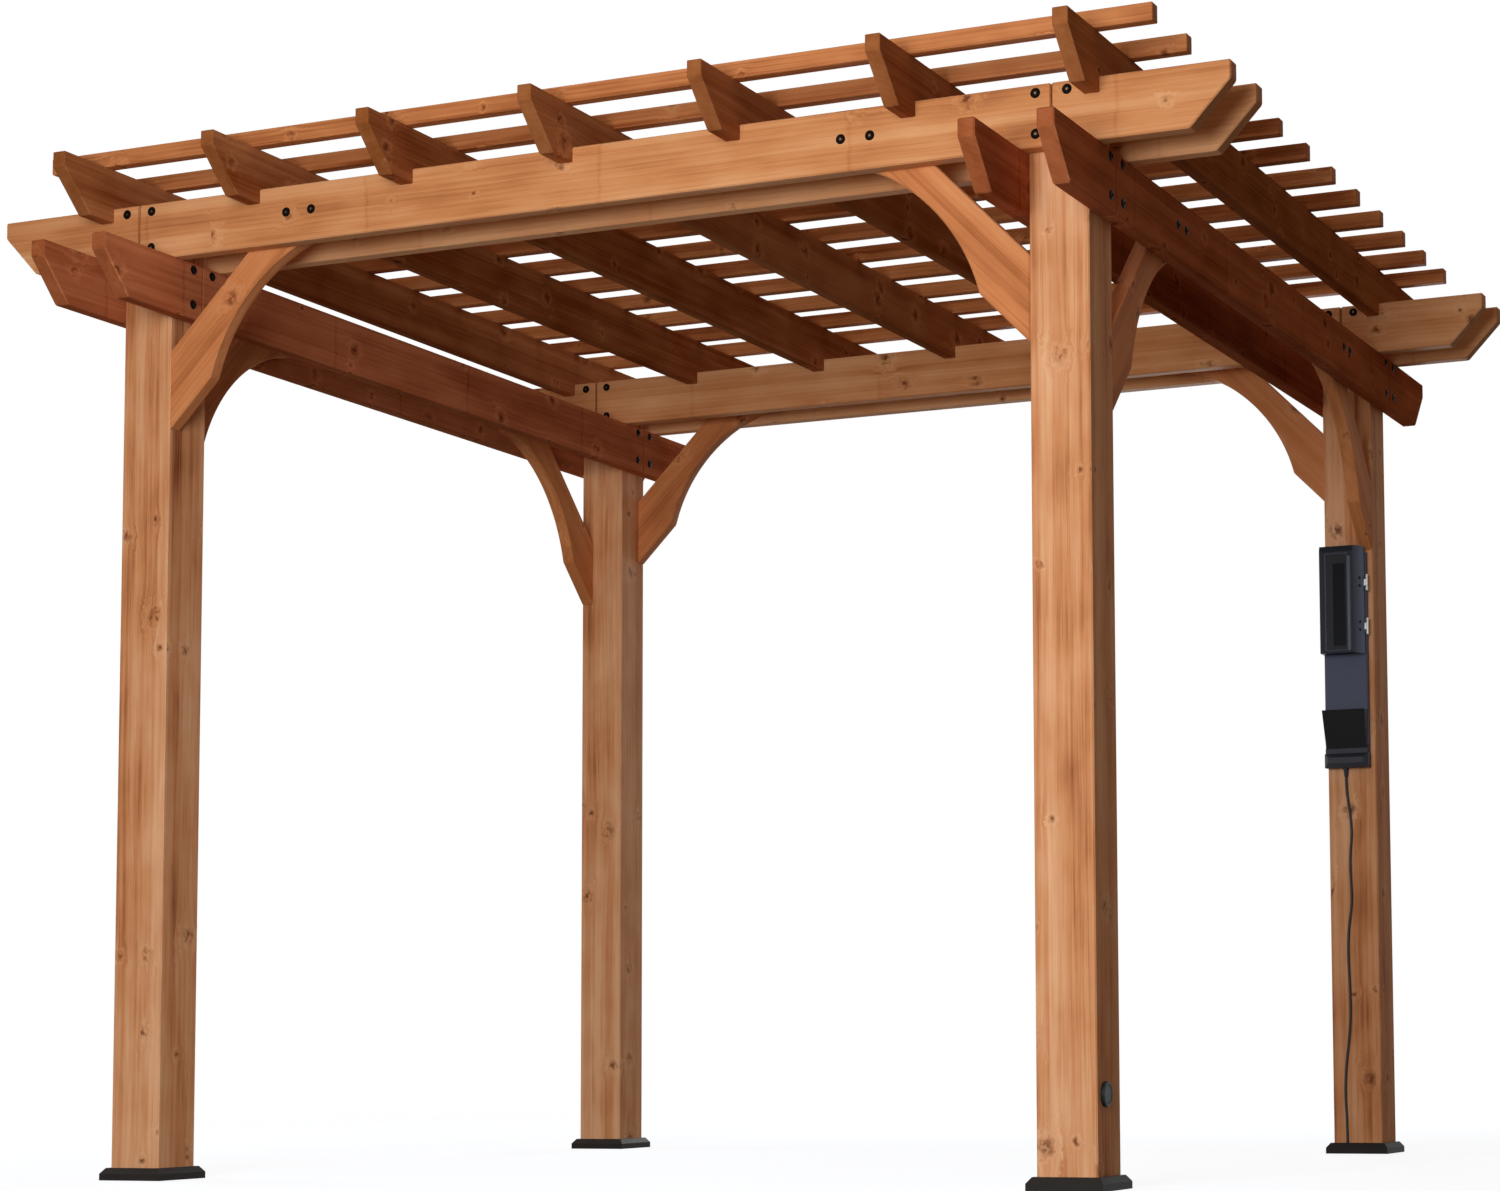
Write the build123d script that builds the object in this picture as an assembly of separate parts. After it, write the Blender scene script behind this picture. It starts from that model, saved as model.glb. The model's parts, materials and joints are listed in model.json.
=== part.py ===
from build123d import *
import os
from math import radians, sqrt, tan

# Open wooden pergola on four square posts.
# Two side beams (along Y) and two cross beams (along X) are pairs of boards that clamp the
# posts, curved knee braces stiffen the corners, notched rafters lie across the cross beams,
# and thin slats lie across the rafters. A power box hangs on the back right post.
# Frame: millimetres, +X right along the front, +Y to the back, +Z up.
# The origin is on the ground, midway between the four posts.

# Posts
POST_W = 140.0  # square section
POST_SPAN_X = 2432.0  # centre to centre, left to right
POST_SPAN_Y = 2224.0  # centre to centre, front to back

# Boards of the beams, all on edge
BOARD_T = 40.0
SIDE_BEAM_H = 140.0
CROSS_BEAM_H = 140.0
HEADROOM = 2120.0  # ground to the underside of the side beams
SIDE_BEAM_L = 2968.0
CROSS_BEAM_L = 3256.0
BEAM_NOSE_H = 40.0  # plumb part of each beam end, above the slanted cut
SIDE_NOSE_RUN = 90.0  # length of the slanted cut along the board
CROSS_NOSE_RUN = 95.0
SEAM_GAP = 1.5  # butt joints of the three lengths, over the posts
EASE = 3.0  # eased edges of all boards
POST_TOP_DROP = 4.0  # post tops lie this far under the beam tops

# Knee braces, sizes measured from the corner of post and beam underside
BRACE_T = 38.0
BRACE_SEAT_TOP = 224.0  # upper end of the seat on the post, below the beam
BRACE_SEAT_LOW = 420.0  # lower tip on the post, below the beam
BRACE_FACET = 120.0  # run of the 45 degree facet at the tip
BRACE_REACH = 500.0  # post face to the far end, between the beam boards
BRACE_ARCH_RISE = 42.0  # arch end above the beam underside
BRACE_ARCH_R = 465.0
BRACE_TOP_DROP = 28.0  # brace top lies this far under the beam tops

# Rafters along Y
RAFTER_COUNT = 7
RAFTER_T = 36.0
RAFTER_H = 134.0
RAFTER_L = 2816.0
RAFTER_PITCH = 437.0
RAFTER_NOTCH = 36.0  # depth over the cross beams
RAFTER_NOTCH_PLAY = 2.0  # total play of the notch along Y
RAFTER_NOSE_H = 37.0
RAFTER_NOSE_RUN = 98.0

# Slats along X
SLAT_COUNT = 12
SLAT_W = 32.0
SLAT_H = 40.0
SLAT_L = 2926.0
SLAT_SPAN = 2470.0  # first to last slat, centre to centre

# Foot trims, a sloped skirt around each post
FOOT_W = 178.0
FOOT_H = 30.0
FOOT_SLOPE_RUN = 11.0
FOOT_SLOPE_H = 14.0
FOOT_PLAY = 0.3  # clearance around the post

# Power box on the front face of the back right post
BOX_OFFSET_X = -8.0  # box centre from the post centre
BOX_TOP = 1694.0  # top of the back plate, under the knee brace
BOX_W = 125.0
BOX_PLATE_T = 20.0
BOX_FOOT_Z = 1083.0
LEDGE_H = 40.0
LEDGE_D = 40.0
LEDGE_BEVEL = 12.0
LEDGE_STRIP_H = 14.0
LEDGE_STRIP_D = 28.0
POCKET_H = 108.0
POCKET_D_LOW = 30.0
POCKET_D_TOP = 54.0
POCKET_W_LOW = 116.0
POCKET_WALL = 3.0
FRAME_RISE = 8.0  # raised frame inside the cover, above the plate
COVER_BOTTOM = 1404.0
COVER_TOP = 1709.0
COVER_GAP = 5.0  # running clearance between cover and body
COVER_D = 70.0  # front of the cover from the post
COVER_WALL = 3.0
COVER_SETBACK = 3.5  # hinge side of the cover inside the side of the plate
COVER_FLANK = 22.0  # width of the slanted hinge-side flank
COVER_BEVEL_H = 17.0  # top bevel, down the front
COVER_BEVEL_D = 8.0  # top bevel, back along the top
COVER_ROUND = 3.0  # rounded upright corners of the front
COVER_DRAFT = 3.0
WINDOW_MARGIN_X = 20.0
WINDOW_LOW = 16.0  # window above the cover's lower edge
WINDOW_HIGH = 48.0  # window below the cover's upper edge
WINDOW_SEAT = 1.5
RIDGE_W = 8.0
RIDGE_H = 4.0
RIDGE_SIDE = 5.0  # ridge from the corner of front and flank
RIDGE_LOW = 5.0
RIDGE_HIGH = 30.0
OUTLET_W = 70.0
OUTLET_H = 115.0
OUTLET_T = 5.0
SOCKET_W = 34.0
SOCKET_H = 29.0
SOCKET_PITCH = 39.0
SOCKET_T = 2.0
HINGE_OUT = 4.0  # axis beyond the side of the plate
HINGE_R = 3.5
HINGE_L = 46.0
HINGE_KNUCKLE = 18.0  # middle knuckle, carried by the cover
HINGE_PLAY = 0.6
HINGE_TOP_Z = 1606.0
HINGE_LOW_Z = 1481.0
HINGE_LEAF_T = 2.0

# Cable down the post, and the tapered gland under the ledge that it comes out of
CABLE_D = 7.0
GLAND_D = 15.0
GLAND_END_D = 9.0
GLAND_H = 25.0
# Chosen by hand: across from the post's middle, out from its front face, and height
CABLE_ROUTE = [
    (-16.0, -9.0, BOX_FOOT_Z - GLAND_H),
    (-16.0, -9.0, 1022.0),
    (-8.5, -7.5, 970.0),
    (-1.5, -6.0, 903.0),
    (-9.0, -6.5, 835.0),
    (-7.5, -7.0, 770.0),
    (-5.0, -6.0, 702.0),
    (-16.5, -6.5, 632.0),
    (-19.0, -7.0, 552.0),
    (-15.5, -6.0, 470.0),
    (-14.0, -6.5, 385.0),
    (-20.5, -7.0, 312.0),
    (-31.0, -6.0, 238.0),
    (-34.0, -5.5, 160.0),
    (-30.0, -4.3, 88.0),
    (-30.0, -4.3, FOOT_H),
]

# Levels and faces worked out from the sizes
side_top = HEADROOM + SIDE_BEAM_H
cross_top = side_top + CROSS_BEAM_H
rafter_low = cross_top - RAFTER_NOTCH
rafter_top = rafter_low + RAFTER_H
post_x = POST_SPAN_X / 2
post_y = POST_SPAN_Y / 2
half_post = POST_W / 2
pair_w = POST_W + 2 * BOARD_T  # a beam pair, over both boards

SIDES = {"left": -1, "right": 1}
ENDS = {"front": -1, "back": 1}


def eased(shape, size=EASE):
    """Return the shape as solids with every edge chamfered by size."""
    pieces = [piece.chamfer(size, None, piece.edges()) for piece in shape.solids()]
    return pieces[0] if len(pieces) == 1 else Compound(pieces)


def board_outline(length, height, nose_h, nose_run):
    """Closed outline of a beam board seen from its side, underside at zero."""
    half = length / 2
    drop = height - nose_h
    return Polyline(
        (-half, height),
        (half, height),
        (half, drop),
        (half - nose_run, 0),
        (-half + nose_run, 0),
        (-half, drop),
        close=True,
    )


def split_at_posts(board, along_x, span):
    """Cut a board into three lengths with a narrow seam over each post."""
    cutter_l = 4 * POST_W
    for side in (-1, 1):
        place = side * span / 2
        size = (SEAM_GAP, cutter_l, cutter_l) if along_x else (cutter_l, SEAM_GAP, cutter_l)
        centre = board.center()
        spot = (place, centre.Y, centre.Z) if along_x else (centre.X, place, centre.Z)
        board -= Pos(*spot) * Box(*size)
    return eased(board)


def side_beam_board(inner_x):
    """Board along Y with its face nearest the left at inner_x."""
    outline = make_face(Plane.YZ * board_outline(SIDE_BEAM_L, SIDE_BEAM_H, BEAM_NOSE_H, SIDE_NOSE_RUN))
    board = Pos(inner_x, 0, HEADROOM) * extrude(outline, BOARD_T, dir=(1, 0, 0))
    return split_at_posts(board, False, POST_SPAN_Y)


def cross_beam_board(inner_y):
    """Board along X with its front face at inner_y."""
    outline = make_face(Plane.XZ * board_outline(CROSS_BEAM_L, CROSS_BEAM_H, BEAM_NOSE_H, CROSS_NOSE_RUN))
    board = Pos(0, inner_y, side_top) * extrude(outline, BOARD_T, dir=(0, 1, 0))
    return split_at_posts(board, True, POST_SPAN_X)


def post(side, end):
    """Square post up to just under the cross beam tops."""
    height = cross_top - POST_TOP_DROP
    shaft = Box(POST_W, POST_W, height, align=(Align.CENTER, Align.CENTER, Align.MIN))
    shaft = chamfer(shaft.edges().filter_by(Axis.Z), EASE)
    return Pos(side * post_x, end * post_y, 0) * shaft


def foot_trim(side, end):
    """Skirt around a post foot: plumb below, sloped above, open for the post."""
    low = Box(FOOT_W, FOOT_W, FOOT_H, align=(Align.CENTER, Align.CENTER, Align.MIN))
    rim = low.faces().sort_by(Axis.Z)[-1].edges()
    skirt = chamfer(rim, FOOT_SLOPE_H, FOOT_SLOPE_RUN)
    bore = POST_W + 2 * FOOT_PLAY
    skirt -= Box(bore, bore, 3 * FOOT_H)
    return Pos(side * post_x, end * post_y, 0) * skirt


def knee_brace(beam_h):
    """Brace in its own plane: post face at x 0, beam underside at z 0, thickness from y 0 up."""
    top = beam_h - BRACE_TOP_DROP
    with BuildSketch(Plane.XZ) as shape:
        with BuildLine():
            tip = (0, -BRACE_SEAT_LOW)
            knee = (BRACE_FACET, BRACE_FACET - BRACE_SEAT_LOW)
            arch_end = (BRACE_REACH, BRACE_ARCH_RISE)
            Line(tip, knee)
            RadiusArc(knee, arch_end, BRACE_ARCH_R)
            Polyline(
                arch_end,
                (BRACE_REACH, top),
                (BRACE_SEAT_TOP + top, top),
                (0, -BRACE_SEAT_TOP),
                tip,
            )
        make_face()
    return eased(extrude(shape.sketch, BRACE_T, dir=(0, 1, 0)))


def cross_brace(side, end):
    """Brace under a cross beam, against its outer board, from the post towards the middle."""
    brace = Pos(0, -BRACE_T / 2, 0) * knee_brace(CROSS_BEAM_H)
    if side > 0:
        brace = mirror(brace, Plane.YZ)
    face_x = side * (post_x - half_post)
    middle_y = end * (post_y + half_post - BRACE_T / 2)
    return Pos(face_x, middle_y, side_top) * brace


def side_brace(side, end):
    """Brace under a side beam, against its outer board, from the post towards the middle."""
    brace = Pos(0, -BRACE_T / 2, 0) * knee_brace(SIDE_BEAM_H)
    brace = Rot(0, 0, 90 if end < 0 else -90) * brace
    face_y = end * (post_y - half_post)
    middle_x = side * (post_x + half_post - BRACE_T / 2)
    return Pos(middle_x, face_y, HEADROOM) * brace


def rafter(index):
    """Rafter along Y, notched over both cross beams, with slanted ends."""
    outline = board_outline(RAFTER_L, RAFTER_H, RAFTER_NOSE_H, RAFTER_NOSE_RUN)
    body = eased(extrude(make_face(Plane.YZ * outline), RAFTER_T, dir=(1, 0, 0)), EASE / 2)
    notch_w = pair_w + RAFTER_NOTCH_PLAY
    for end in (-1, 1):
        body -= Pos(RAFTER_T / 2, end * post_y, 0) * Box(2 * RAFTER_T, notch_w, 2 * RAFTER_NOTCH)
    middle = (index - (RAFTER_COUNT - 1) / 2) * RAFTER_PITCH
    return Pos(middle - RAFTER_T / 2, 0, rafter_low) * body


def slat(index):
    """Square-cut slat along X on top of the rafters."""
    bar = Box(SLAT_L, SLAT_W, SLAT_H, align=(Align.CENTER, Align.CENTER, Align.MIN))
    middle = -SLAT_SPAN / 2 + index * SLAT_SPAN / (SLAT_COUNT - 1)
    return Pos(0, middle, rafter_top) * eased(bar, EASE / 2)


# Power box. It is drawn with x across, y out of the wall as negative, z up, and then moved.

box_x = post_x + BOX_OFFSET_X
box_y = post_y - half_post
half_box = BOX_W / 2
cover_back = BOX_PLATE_T + COVER_GAP
cover_h = COVER_TOP - COVER_BOTTOM
frame_d = BOX_PLATE_T + FRAME_RISE
hinge_x = half_box + HINGE_OUT
cover_end = half_box - COVER_SETBACK
hinge_y = -(BOX_PLATE_T + HINGE_R)


def at_box(shape):
    """Move a shape from the box's own place to the post."""
    return Pos(box_x, box_y, 0) * shape


def wall_block(width, depth, low, high):
    """Block against the post face, centred across, from low to high."""
    block = Box(width, depth, high - low, align=(Align.CENTER, Align.MAX, Align.MIN))
    return Pos(0, 0, low) * block


def box_body():
    """Back plate, bottom ledge and the raised frame that the cover closes over."""
    plate = wall_block(BOX_W, BOX_PLATE_T, BOX_FOOT_Z, BOX_TOP)
    plate = chamfer(plate.faces().sort_by(Axis.Y)[0].edges(), 2)
    ledge_top = BOX_FOOT_Z + LEDGE_H
    ledge = wall_block(BOX_W + 2, LEDGE_D, BOX_FOOT_Z, ledge_top)
    ledge = chamfer(ledge.faces().sort_by(Axis.Y)[0].edges(), LEDGE_BEVEL)
    strip = wall_block(BOX_W - 4, LEDGE_STRIP_D, ledge_top, ledge_top + LEDGE_STRIP_H)
    inset = COVER_WALL + COVER_GAP
    frame_left = -half_box + COVER_DRAFT + inset
    frame_right = cover_end - inset
    frame = wall_block(frame_right - frame_left, frame_d, COVER_BOTTOM + inset, BOX_TOP - inset)
    frame = Pos((frame_left + frame_right) / 2, 0, 0) * frame
    gland = Cone(GLAND_END_D / 2, GLAND_D / 2, GLAND_H, align=(Align.CENTER, Align.CENTER, Align.MIN))
    return at_box(plate + ledge + strip + frame) + Pos(*cable_points()[0]) * gland


def wedge(width_low, width_top, depth_low, depth_top, low, high):
    """Tapered block against the post face, wider and deeper at its top."""
    with BuildPart() as taper:
        with BuildSketch(Plane.XY.offset(low)):
            with Locations((0, -depth_low / 2)):
                Rectangle(width_low, depth_low)
        with BuildSketch(Plane.XY.offset(high)):
            with Locations((0, -depth_top / 2)):
                Rectangle(width_top, depth_top)
        loft()
    return taper.part


def box_pocket():
    """Flared open pocket under the plain panel."""
    low = BOX_FOOT_Z + LEDGE_H + LEDGE_STRIP_H
    high = low + POCKET_H
    wall = POCKET_WALL
    shell = wedge(POCKET_W_LOW, BOX_W, POCKET_D_LOW, POCKET_D_TOP, low, high)
    inner = wedge(
        POCKET_W_LOW - 2 * wall,
        BOX_W - 2 * wall,
        POCKET_D_LOW - wall,
        POCKET_D_TOP - wall,
        low,
        high,
    )
    floor = wall_block(2 * BOX_W, 2 * POCKET_D_TOP, low - wall, low + wall)
    plate = wall_block(2 * BOX_W, BOX_PLATE_T, low - wall, high + wall)
    return at_box(shell - (inner - floor) - plate)


def cover_plan(shrink):
    """Plan of the cover, with its walls moved in by shrink."""
    left = -half_box + shrink
    right = cover_end - shrink
    front = -(COVER_D - shrink)
    flank_start = cover_end - COVER_FLANK - shrink * 0.7
    return Polyline(
        (left, -cover_back),
        (left + COVER_DRAFT, front),
        (flank_start, front),
        (right, -cover_back - 3),
        (right, -cover_back),
        close=True,
    )


def cover_block(shrink):
    """Block of the cover's outside, or of its hollow when shrunk, with the bevel at its top."""
    height = cover_h - 2 * shrink
    front = -COVER_D + shrink
    block = extrude(make_face(Plane.XY * cover_plan(shrink)), height, dir=(0, 0, 1))
    bevel = Plane.YZ * Polyline(
        (front - 1, height - COVER_BEVEL_H),
        (front, height - COVER_BEVEL_H),
        (front + COVER_BEVEL_D, height),
        (front + COVER_BEVEL_D, height + 1),
        (front - 1, height + 1),
        close=True,
    )
    block -= extrude(make_face(bevel), 2 * BOX_W, dir=(1, 0, 0), both=True)
    return Pos(0, 0, COVER_BOTTOM + shrink) * block


def rounded_cover_block():
    """Outside of the cover with its two upright front corners rounded."""
    block = cover_block(0)
    upright = block.edges().filter_by(Axis.Z)
    corners = upright.filter_by_position(Axis.Y, -COVER_D - 0.1, -COVER_D + 0.1)
    return fillet(corners, COVER_ROUND)


def window_place():
    """Left, right, low and high limits of the smoked window."""
    left = -half_box + COVER_DRAFT + WINDOW_MARGIN_X
    right = cover_end - COVER_FLANK - RIDGE_SIDE - RIDGE_W - 4
    low = COVER_BOTTOM + WINDOW_LOW
    high = COVER_TOP - WINDOW_HIGH
    return left, right, low, high


def window_block(margin, depth, start):
    """Block over the window opening, margin wider all round, from start inwards."""
    left, right, low, high = window_place()
    block = Box(
        right - left + 2 * margin,
        depth,
        high - low + 2 * margin,
        align=(Align.CENTER, Align.MIN, Align.CENTER),
    )
    return Pos((left + right) / 2, -COVER_D + start, (low + high) / 2) * block


def box_cover():
    """Hollow hinged cover with a window opening, a ridge and the hinge knuckles."""
    shell = rounded_cover_block() - cover_block(COVER_WALL)
    shell -= window_block(0, 2 * COVER_WALL, -1)
    shell -= window_block(WINDOW_SEAT, WINDOW_SEAT + 1, -1)
    ridge_x = cover_end - COVER_FLANK - RIDGE_SIDE - RIDGE_W / 2
    ridge_low = COVER_BOTTOM + RIDGE_LOW
    ridge_high = COVER_TOP - RIDGE_HIGH
    ridge = Box(RIDGE_W, RIDGE_H + 1, ridge_high - ridge_low, align=(Align.CENTER, Align.MAX, Align.MIN))
    ridge = chamfer(ridge.faces().sort_by(Axis.Y)[0].edges().filter_by(Axis.Z), 2)
    return at_box(shell + Pos(ridge_x, -COVER_D + 1, ridge_low) * ridge)


def box_window():
    """Smoked pane in its seat in the cover."""
    return at_box(window_block(WINDOW_SEAT - 0.2, WINDOW_SEAT, 0))


def box_outlets():
    """Outlet plate with two raised socket faces, behind the cover."""
    base = -frame_d
    middle = (COVER_BOTTOM + BOX_TOP) / 2
    plate = Box(OUTLET_W, OUTLET_T, OUTLET_H, align=(Align.CENTER, Align.MAX, Align.CENTER))
    plate = chamfer(plate.faces().sort_by(Axis.Y)[0].edges(), 2)
    for side in (-1, 1):
        face = Box(SOCKET_W, OUTLET_T + SOCKET_T, SOCKET_H, align=(Align.CENTER, Align.MAX, Align.CENTER))
        face = fillet(face.edges().filter_by(Axis.Y), 8)
        plate += Pos(0, 0, side * SOCKET_PITCH / 2) * face
    return at_box(Pos(0, base, middle) * plate)


def hinge_fixed(middle_z):
    """Outer knuckles of one hinge with their leaf on the plate's edge."""
    gap = HINGE_KNUCKLE + 2 * HINGE_PLAY
    barrel = Cylinder(HINGE_R, HINGE_L) - Cylinder(2 * HINGE_R, gap)
    leaf = Box(HINGE_LEAF_T, BOX_PLATE_T, HINGE_L, align=(Align.MIN, Align.MIN, Align.CENTER))
    leaf = Pos(half_box - hinge_x, -hinge_y - BOX_PLATE_T, 0) * leaf
    web = Box(HINGE_LEAF_T, HINGE_R + 1, HINGE_L, align=(Align.MIN, Align.MIN, Align.CENTER))
    web = Pos(half_box - hinge_x, 0, 0) * web - Box(4 * HINGE_R, 4 * HINGE_R, gap)
    return at_box(Pos(hinge_x, hinge_y, middle_z) * (barrel + leaf + web))


def hinge_moving(middle_z):
    """Middle knuckle of one hinge with its tab to the cover's flank."""
    knuckle = Cylinder(HINGE_R, HINGE_KNUCKLE)
    reach = hinge_x - (cover_end - COVER_WALL)
    tab = Box(reach, HINGE_LEAF_T, HINGE_KNUCKLE, align=(Align.MAX, Align.CENTER, Align.CENTER))
    tab = Pos(0, -2, 0) * tab
    return at_box(Pos(hinge_x, hinge_y, middle_z) * (knuckle + tab))


def cable_points():
    """Cable route at the back right post."""
    return [Vector(post_x + across, box_y + out, height) for across, out, height in CABLE_ROUTE]


def cable_radii():
    """Largest bend radius that the two runs at each inner point allow."""
    radii = []
    points = cable_points()
    for before, at, after in zip(points, points[1:], points[2:]):
        run_in = at - before
        run_out = after - at
        turn = radians(run_in.get_angle(run_out))
        shorter = min(run_in.length, run_out.length)
        radii.append(0.45 * shorter / tan(turn / 2))
    return radii


def cable():
    """Round cable along straight runs joined by tangent arcs."""
    radii = cable_radii()
    path = FilletPolyline(*cable_points(), radius=radii)
    start = Plane(path @ 0, z_dir=path % 0)
    tube = sweep(start * Circle(CABLE_D / 2), path=path)
    section = Circle(CABLE_D / 2).area
    print("cable radii", [round(value) for value in radii])
    print("cable length", round(path.length, 1), "volume ratio", tube.volume / (section * path.length))
    return tube


def hinges(maker):
    """Both hinges as one compound."""
    return Compound([maker(HINGE_TOP_Z), maker(HINGE_LOW_Z)])


def all_nodes():
    """Every node's name and shape."""
    nodes = {}
    for side_name, side in SIDES.items():
        for end_name, end in ENDS.items():
            corner = end_name + "_" + side_name
            nodes["post_" + corner] = post(side, end)
            nodes["foot_trim_" + corner] = foot_trim(side, end)
            nodes["cross_brace_" + corner] = cross_brace(side, end)
            nodes["side_brace_" + corner] = side_brace(side, end)
    for side_name, side in SIDES.items():
        outer = side * (post_x + half_post)
        inner = side * (post_x - half_post)
        nodes["side_beam_" + side_name + "_outer"] = side_beam_board(min(outer, outer + side * BOARD_T))
        nodes["side_beam_" + side_name + "_inner"] = side_beam_board(min(inner, inner - side * BOARD_T))
    for end_name, end in ENDS.items():
        outer = end * (post_y + half_post)
        inner = end * (post_y - half_post)
        nodes["cross_beam_" + end_name + "_outer"] = cross_beam_board(min(outer, outer + end * BOARD_T))
        nodes["cross_beam_" + end_name + "_inner"] = cross_beam_board(min(inner, inner - end * BOARD_T))
    for index in range(RAFTER_COUNT):
        nodes["rafter_" + str(index + 1)] = rafter(index)
    for index in range(SLAT_COUNT):
        nodes["slat_" + str(index + 1).zfill(2)] = slat(index)
    nodes["power_box_body"] = box_body()
    nodes["power_box_pocket"] = box_pocket()
    nodes["power_box_outlets"] = box_outlets()
    nodes["power_box_cover"] = box_cover()
    nodes["power_box_window"] = box_window()
    nodes["power_box_hinges"] = hinges(hinge_fixed)
    nodes["power_box_hinge_tabs"] = hinges(hinge_moving) - box_cover()
    nodes["power_cable"] = cable()
    return nodes


os.makedirs("parts", exist_ok=True)
for name, shape in all_nodes().items():
    export_step(shape, os.path.join("parts", name + ".step"))
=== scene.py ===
"""Looks of an open timber pergola with a power box on one back post.

Metres, in the frame of the solids: +X right along the front, +Y to the back, +Z up, with the
origin on the ground midway between the four posts.
"""

from __future__ import annotations

import json
import logging
import math
from dataclasses import dataclass, field
from enum import Enum

import bpy
import numpy as np
from mathutils import Matrix, Vector

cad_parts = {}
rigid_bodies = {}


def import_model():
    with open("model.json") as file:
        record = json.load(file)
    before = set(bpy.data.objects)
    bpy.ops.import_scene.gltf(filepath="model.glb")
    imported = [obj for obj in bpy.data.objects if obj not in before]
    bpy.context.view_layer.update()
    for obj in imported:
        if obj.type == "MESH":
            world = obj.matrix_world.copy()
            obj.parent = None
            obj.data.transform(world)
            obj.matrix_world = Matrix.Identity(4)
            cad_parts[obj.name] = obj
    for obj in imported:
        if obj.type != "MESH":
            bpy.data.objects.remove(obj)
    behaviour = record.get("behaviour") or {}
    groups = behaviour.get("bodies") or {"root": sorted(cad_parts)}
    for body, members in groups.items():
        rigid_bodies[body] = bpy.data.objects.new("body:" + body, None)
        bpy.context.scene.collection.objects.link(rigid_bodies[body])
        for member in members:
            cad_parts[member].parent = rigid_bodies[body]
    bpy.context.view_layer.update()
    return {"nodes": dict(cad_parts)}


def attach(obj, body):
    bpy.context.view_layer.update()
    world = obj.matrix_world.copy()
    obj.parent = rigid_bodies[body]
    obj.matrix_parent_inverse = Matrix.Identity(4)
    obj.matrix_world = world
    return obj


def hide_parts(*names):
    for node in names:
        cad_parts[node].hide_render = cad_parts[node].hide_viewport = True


LOG = logging.getLogger("pergola")
MM = 0.001

Point = tuple[float, float, float]
Colour = tuple[float, float, float, float]


# Helpers


def linear(colour: str) -> Colour:
    """Turn an sRGB hex colour to linear light.

    Args:
        colour: Six hex digits after a hash.

    Returns:
        Red, green, blue and an alpha of one.
    """
    parts = [int(colour[i : i + 2], 16) / 255 for i in (1, 3, 5)]
    light = [c / 12.92 if c <= 0.04045 else ((c + 0.055) / 1.055) ** 2.4 for c in parts]
    return (light[0], light[1], light[2], 1.0)


def add(
    tree: bpy.types.NodeTree, kind: str, props: dict | None = None, inputs: dict | None = None
) -> bpy.types.Node:
    """Add one node with its settings and links.

    Args:
        tree: Tree that takes the node.
        kind: Node type without the ShaderNode in front.
        props: Attributes of the node.
        inputs: Values or output sockets by input name or number.

    Returns:
        The new node.
    """
    node = tree.nodes.new("ShaderNode" + kind)
    for key, value in (props or {}).items():
        setattr(node, key, value)
    for key, value in (inputs or {}).items():
        if isinstance(value, bpy.types.NodeSocket):
            tree.links.new(value, node.inputs[key])
        else:
            node.inputs[key].default_value = value
    return node


def new_material(name: str) -> tuple[bpy.types.Material, bpy.types.NodeTree, bpy.types.Node]:
    """Start a node material.

    Args:
        name: Name of the material.

    Returns:
        The material, its tree and its linked Principled shader.
    """
    material = bpy.data.materials.new(name)
    material.use_nodes = True
    tree = material.node_tree
    tree.nodes.clear()
    shader = add(tree, "BsdfPrincipled")
    add(tree, "OutputMaterial", None, {"Surface": shader.outputs[0]})
    return material, tree, shader


def set_finish(piece: bpy.types.Object, material: bpy.types.Material) -> None:
    """Put one material in every slot of a piece, making a slot where it has none."""
    if not piece.material_slots:
        piece.data.materials.append(material)
    for spot in piece.material_slots:
        spot.material = material


def new_piece(
    name: str, mesh: bpy.types.Mesh, body: str, material: bpy.types.Material
) -> bpy.types.Object:
    """Turn a finished mesh into a piece that rides on a body.

    Args:
        name: Name of the piece.
        mesh: Mesh in the frame of the solids.
        body: Body that carries the piece.
        material: Finish of the piece.

    Returns:
        The linked object.
    """
    piece = bpy.data.objects.new(name, mesh)
    bpy.context.scene.collection.objects.link(piece)
    set_finish(piece, material)
    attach(piece, body)
    LOG.info("%s: %d faces on %s", name, len(mesh.polygons), body)
    return piece


def ring(radius: float, height: float, shape: np.ndarray, angle: np.ndarray) -> np.ndarray:
    """Points about +Z at a height, whose radius is multiplied by a shape over the angle."""
    away = radius * shape
    flat = np.full_like(angle, height)
    return np.stack([away * np.cos(angle), away * np.sin(angle), flat], axis=-1)


def turned_pattern(
    profile: list[tuple[float, float]], columns: int, power: float = 2.0
) -> np.ndarray:
    """Rings about +Z from radii and heights.

    The radius is multiplied by (|cos|^p + |sin|^p)^(-1/p) of the angle, which is a circle for a
    power of two and comes near a square for a higher one.

    Args:
        profile: Radius and height of each ring in millimetres, from the top outwards and down.
        columns: Points of a ring.
        power: The power p.

    Returns:
        Points in metres, rings by columns by three.
    """
    angle = np.arange(columns) * 2 * np.pi / columns
    shape = (np.abs(np.cos(angle)) ** power + np.abs(np.sin(angle)) ** power) ** (-1 / power)
    return np.stack([ring(radius, height, shape, angle) for radius, height in profile]) * MM


def place(spot: Point, out: Point, spin: float = 0.0) -> np.ndarray:
    """Matrix, 3 by 4, that turns +Z to a way out and moves to a spot."""
    swing = Vector((0, 0, 1)).rotation_difference(Vector(out)).to_matrix()
    turn = swing @ Matrix.Rotation(spin, 3, "Z")
    return np.concatenate([np.array(turn), np.array(spot)[:, None]], axis=1)


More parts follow.
